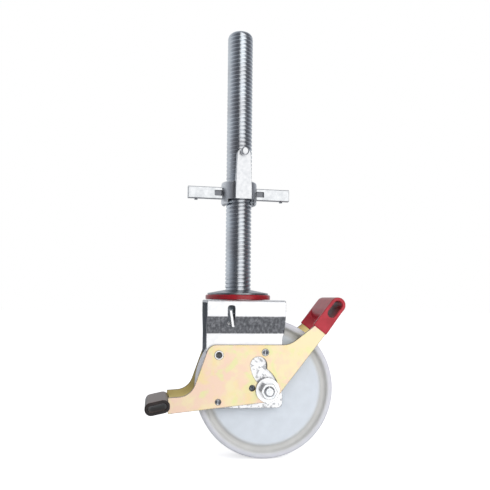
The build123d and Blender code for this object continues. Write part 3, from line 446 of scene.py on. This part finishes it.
# each hue lies in patches of its own size in millimetres, which start and are full where given
for size, seed, low, high, hue in (
    (34, 0.0, 0.42, 0.6, "#F2CFC0"),
    (22, 3.0, 0.52, 0.66, "#E3E5A6"),
    (26, 7.0, 0.5, 0.66, "#F0DCA2"),
):
    patch = {"Vector": place, "W": seed, "Scale": per(size), "Detail": 3.0}
    patch.update({"Roughness": 0.55, "Distortion": 0.3})
    patch = put(tree, "TexNoise", patch, noise_dimensions="4D")
    share = {"Value": patch.outputs["Fac"], "From Min": low, "From Max": high, "To Max": 0.75}
    share = put(tree, "MapRange", share, interpolation_type="SMOOTHSTEP")
    hued = {0: share.outputs[0], 6: film, 7: linear(hue)}
    film = put(tree, "Mix", hued, data_type="RGBA").outputs[2]
freckles = put(tree, "TexNoise", {"Vector": place, "Scale": per(2.0), "Detail": 5.0, "Roughness": 0.7})
freckle = {"Value": freckles.outputs["Fac"], "From Min": 0.6, "From Max": 0.75, "To Max": 0.3}
freckle = put(tree, "MapRange", freckle)
freckled = {0: freckle.outputs[0], 6: film, 7: linear("#C0A070")}
film = put(tree, "Mix", freckled, data_type="RGBA").outputs[2]
# painted shade between the plates: the sides that face each other are darker and olive
facing = put(tree, "SeparateXYZ", {0: coords.outputs["Normal"]})
where = put(tree, "SeparateXYZ", {0: place})
towards = put(tree, "Math", {0: where.outputs["Y"], 1: facing.outputs["Y"]}, operation="MULTIPLY")
inner = put(tree, "Math", {0: towards.outputs[0], 1: INWARD}, operation="LESS_THAN")
shaded_inner = {0: inner.outputs[0], 6: film, 7: linear("#DCCB8C")}
film = put(tree, "Mix", shaded_inner, data_type="RGBA").outputs[2]
across = put(tree, "Math", {0: facing.outputs["Y"]}, operation="ABSOLUTE")
edge = put(tree, "MapRange", {"Value": across.outputs[0], "From Min": 0.75, "From Max": 0.45})
cut = {0: edge.outputs[0], 6: film, 7: linear("#5E4830")}
film = put(tree, "Mix", cut, data_type="RGBA").outputs[2]
# painted shade, dark brown, along the edges
tree.links.new(painted_edge_shade(tree, film, "#3E2C1C", 1.6), shader.inputs["Base Color"])
# the sheet's own grain is finer than this, and is drawn coarser so that it shows
grain = put(tree, "TexNoise", {"Vector": place, "Scale": per(1.5), "Detail": 4.0})
soften(tree, shader, 0.5, (grain.outputs["Fac"], 0.02))
dress(passivated, "brake_plate_front", "brake_plate_rear", "red_pedal_tube", "black_pedal_tube")

# ---- Pedal coats ----
# Both pedals were dipped in liquid PVC and cured: a thick skin that rounds every edge, half
# glossy, with a slow waviness where it ran.

SKIN_GRID = 0.8 * MM  # fine enough for the round edge of the skin

for name, thin, thick in (("red", "#C03240", "#AC2634"), ("black", "#2A201E", "#1A1413")):
    vinyl, tree, shader, coords = begin(f"{name} dipped PVC", Roughness=0.38, IOR=1.53)
    shader.inputs["Specular IOR Level"].default_value = 0.4
    place = coords.outputs["Object"]
    cure = put(tree, "TexNoise", {"Vector": place, "Scale": per(16), "Detail": 3.0})
    skin_stops = [(0.35, linear(thick)), (0.65, linear(thin))]
    tone = put(tree, "ValToRGB", {"Fac": cure.outputs["Fac"]}, stops=skin_stops)
    # dust and a painted sheen lie on what looks up
    facing = put(tree, "SeparateXYZ", {0: coords.outputs["Normal"]})
    dust_and_sheen = {"Value": facing.outputs["Z"], "From Min": 0.5, "From Max": 0.9, "To Max": 0.45}
    dust_and_sheen = put(tree, "MapRange", dust_and_sheen)
    skin_dust_and_sheen = {0: dust_and_sheen.outputs[0], 6: tone.outputs[0], 7: linear("#9C877C")}
    tone = put(tree, "Mix", skin_dust_and_sheen, data_type="RGBA")
    tree.links.new(tone.outputs[2], shader.inputs["Base Color"])
    runs = put(tree, "TexNoise", {"Vector": place, "Scale": per(9), "Detail": 2.0})
    soften(tree, shader, 1.2, (runs.outputs["Fac"], 0.25))
    dress(vinyl, f"{name}_pedal_coat")
    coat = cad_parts[f"{name}_pedal_coat"]
    skin = coat.modifiers.new("dipped skin", "REMESH")
    skin.mode, skin.voxel_size, skin.use_smooth_shade = "VOXEL", SKIN_GRID, True
    flow = coat.modifiers.new("flow of the skin", "SMOOTH")
    flow.factor, flow.iterations = 0.5, 5

# ---- Studio ----
# A pale floor under the wheel, white all round, and one tall soft light in front and to the
# right. The front of the room is dim, so that round metal shows dark streaks beside a bright one.

FLOOR_SIZE, FLOOR_MIDDLE = 14, (0, 3, cad_size[0].z)  # metres
bpy.ops.mesh.primitive_plane_add(size=FLOOR_SIZE, location=FLOOR_MIDDLE)
floor = bpy.context.object
floor.name = "floor"
# mirrors see the room through it, so that metal shows the same tones at every height
floor.visible_glossy = False
paper, tree, shader, _ = begin("matt white paper", Roughness=0.9)
shader.inputs["Base Color"].default_value = linear("#EDEDED")
shader.inputs["Specular IOR Level"].default_value = 0.0
ray = put(tree, "LightPath")
seen = put(tree, "Math", {0: ray.outputs["Is Camera Ray"], 1: 0.6}, operation="MULTIPLY")
tree.links.new(seen.outputs[0], shader.inputs["Emission Strength"])
shader.inputs["Emission Color"].default_value = (1, 1, 1, 1)
floor.data.materials.append(paper)

STRIP_WHITE = (1.35, 1.35, 1.35, 1)
EVEN_LEFT, EVEN_RIGHT = (0.42, 0.42, 0.44, 1), (0.9, 0.9, 0.92, 1)
world = bpy.data.worlds.new("studio")
bpy.context.scene.world = world
world.use_nodes = True
tree = world.node_tree
ray = put(tree, "LightPath")
gaze = put(tree, "TexCoord").outputs["Generated"]
# the room is palest behind and to the left, and its ceiling is dim
PALEST_WAY = (-0.3, 0.93, -0.2)
palest = put(tree, "VectorMath", {0: gaze, 1: PALEST_WAY}, operation="DOT_PRODUCT")
behind = put(tree, "MapRange", {"Value": palest.outputs["Value"], "From Min": -1.0, "From Max": 1.0})
room_stops = [
    (0.0, (0.09, 0.09, 0.1, 1)),
    (0.28, (0.11, 0.115, 0.13, 1)),
    (0.5, (0.3, 0.31, 0.34, 1)),
    (0.62, (0.42, 0.44, 0.48, 1)),
    (0.8, (0.7, 0.72, 0.75, 1)),
]
room = put(tree, "ValToRGB", {"Fac": behind.outputs[0]}, stops=room_stops)
# mirrors see the light as a strip from floor to ceiling, so its streak is unbroken on a thread
KEY_RIGHT, KEY_UP = radians(20.5), radians(7)  # seen from the object
STRIP_FULL, STRIP_END = radians(9), radians(35)  # to each side of its middle
flat = put(tree, "VectorMath", {0: gaze, 1: (1, 1, 0)}, operation="MULTIPLY")
flat = put(tree, "VectorMath", {0: flat.outputs[0]}, operation="NORMALIZE")
to_key = (sin(KEY_RIGHT), -cos(KEY_RIGHT), 0)
aligned = put(tree, "VectorMath", {0: flat.outputs[0], 1: to_key}, operation="DOT_PRODUCT")
strip = {"Value": aligned.outputs["Value"], "From Min": cos(STRIP_END), "From Max": cos(STRIP_FULL)}
strip = put(tree, "MapRange", strip, interpolation_type="SMOOTHSTEP")
lit = put(tree, "Mix", {0: strip.outputs[0], 6: room.outputs[0], 7: STRIP_WHITE}, data_type="RGBA")
# matt surfaces get more light from the right than from the left
sideways = put(tree, "SeparateXYZ", {0: gaze})
rightwards = {"Value": sideways.outputs["X"], "From Min": -1.0, "From Max": 1.0}
rightwards = put(tree, "MapRange", rightwards)
matt = put(tree, "Mix", {0: rightwards.outputs[0], 6: EVEN_LEFT, 7: EVEN_RIGHT}, data_type="RGBA")
mirrored = {0: ray.outputs["Is Glossy Ray"], 6: matt.outputs[2], 7: lit.outputs[2]}
even = put(tree, "Mix", mirrored, data_type="RGBA")
seen = {0: ray.outputs["Is Camera Ray"], 6: even.outputs[2], 7: (1, 1, 1, 1)}
shown = put(tree, "Mix", seen, data_type="RGBA")
tree.links.new(shown.outputs[2], tree.nodes["Background"].inputs["Color"])

KEY_SIZE, KEY_DISTANCE = 2.4, 2.0
KEY_BRIGHTNESS = 1.4  # as bright as a white wall of this many times the scene's white
target = Vector((0, 0, (cad_size[0].z + cad_size[1].z) / 2))
towards = Vector((sin(KEY_RIGHT) * cos(KEY_UP), -cos(KEY_RIGHT) * cos(KEY_UP), sin(KEY_UP)))
softbox = bpy.data.lights.new("softbox", "AREA")
softbox.size = KEY_SIZE
softbox.energy = KEY_BRIGHTNESS * pi * KEY_SIZE**2
lamp = bpy.data.objects.new("softbox", softbox)
lamp.location = target + towards * KEY_DISTANCE
lamp.rotation_euler = towards.to_track_quat("Z", "Y").to_euler()
lamp.visible_glossy = False
bpy.context.collection.objects.link(lamp)

# the camera stands a metre in front, a little to the left and below the middle, looking up
FROM_AXLE = Vector((-161.35, -969.67, 128.52)) * MM
LOOK_RIGHT, LOOK_UP, LEAN = 0.1362, 0.08162, 0.00997  # radians
SENSOR, FOCAL = 36.0, 48.2  # millimetres
forward = Vector((sin(LOOK_RIGHT) * cos(LOOK_UP), cos(LOOK_RIGHT) * cos(LOOK_UP), sin(LOOK_UP)))
level = Vector((cos(LOOK_RIGHT), -sin(LOOK_RIGHT), 0))
above = level.cross(forward)
right = level * cos(LEAN) + above * sin(LEAN)
up = above * cos(LEAN) - level * sin(LEAN)
lens = bpy.data.cameras.new("camera")
lens.sensor_width, lens.lens = SENSOR, FOCAL
lens.clip_start = 0.01
camera = bpy.data.objects.new("camera", lens)
turn = Matrix((right, up, -forward)).transposed().to_4x4()
camera.matrix_world = Matrix.Translation(axle + FROM_AXLE) @ turn
bpy.context.collection.objects.link(camera)
bpy.context.scene.camera = camera
bpy.context.scene.view_settings.view_transform = "Standard"
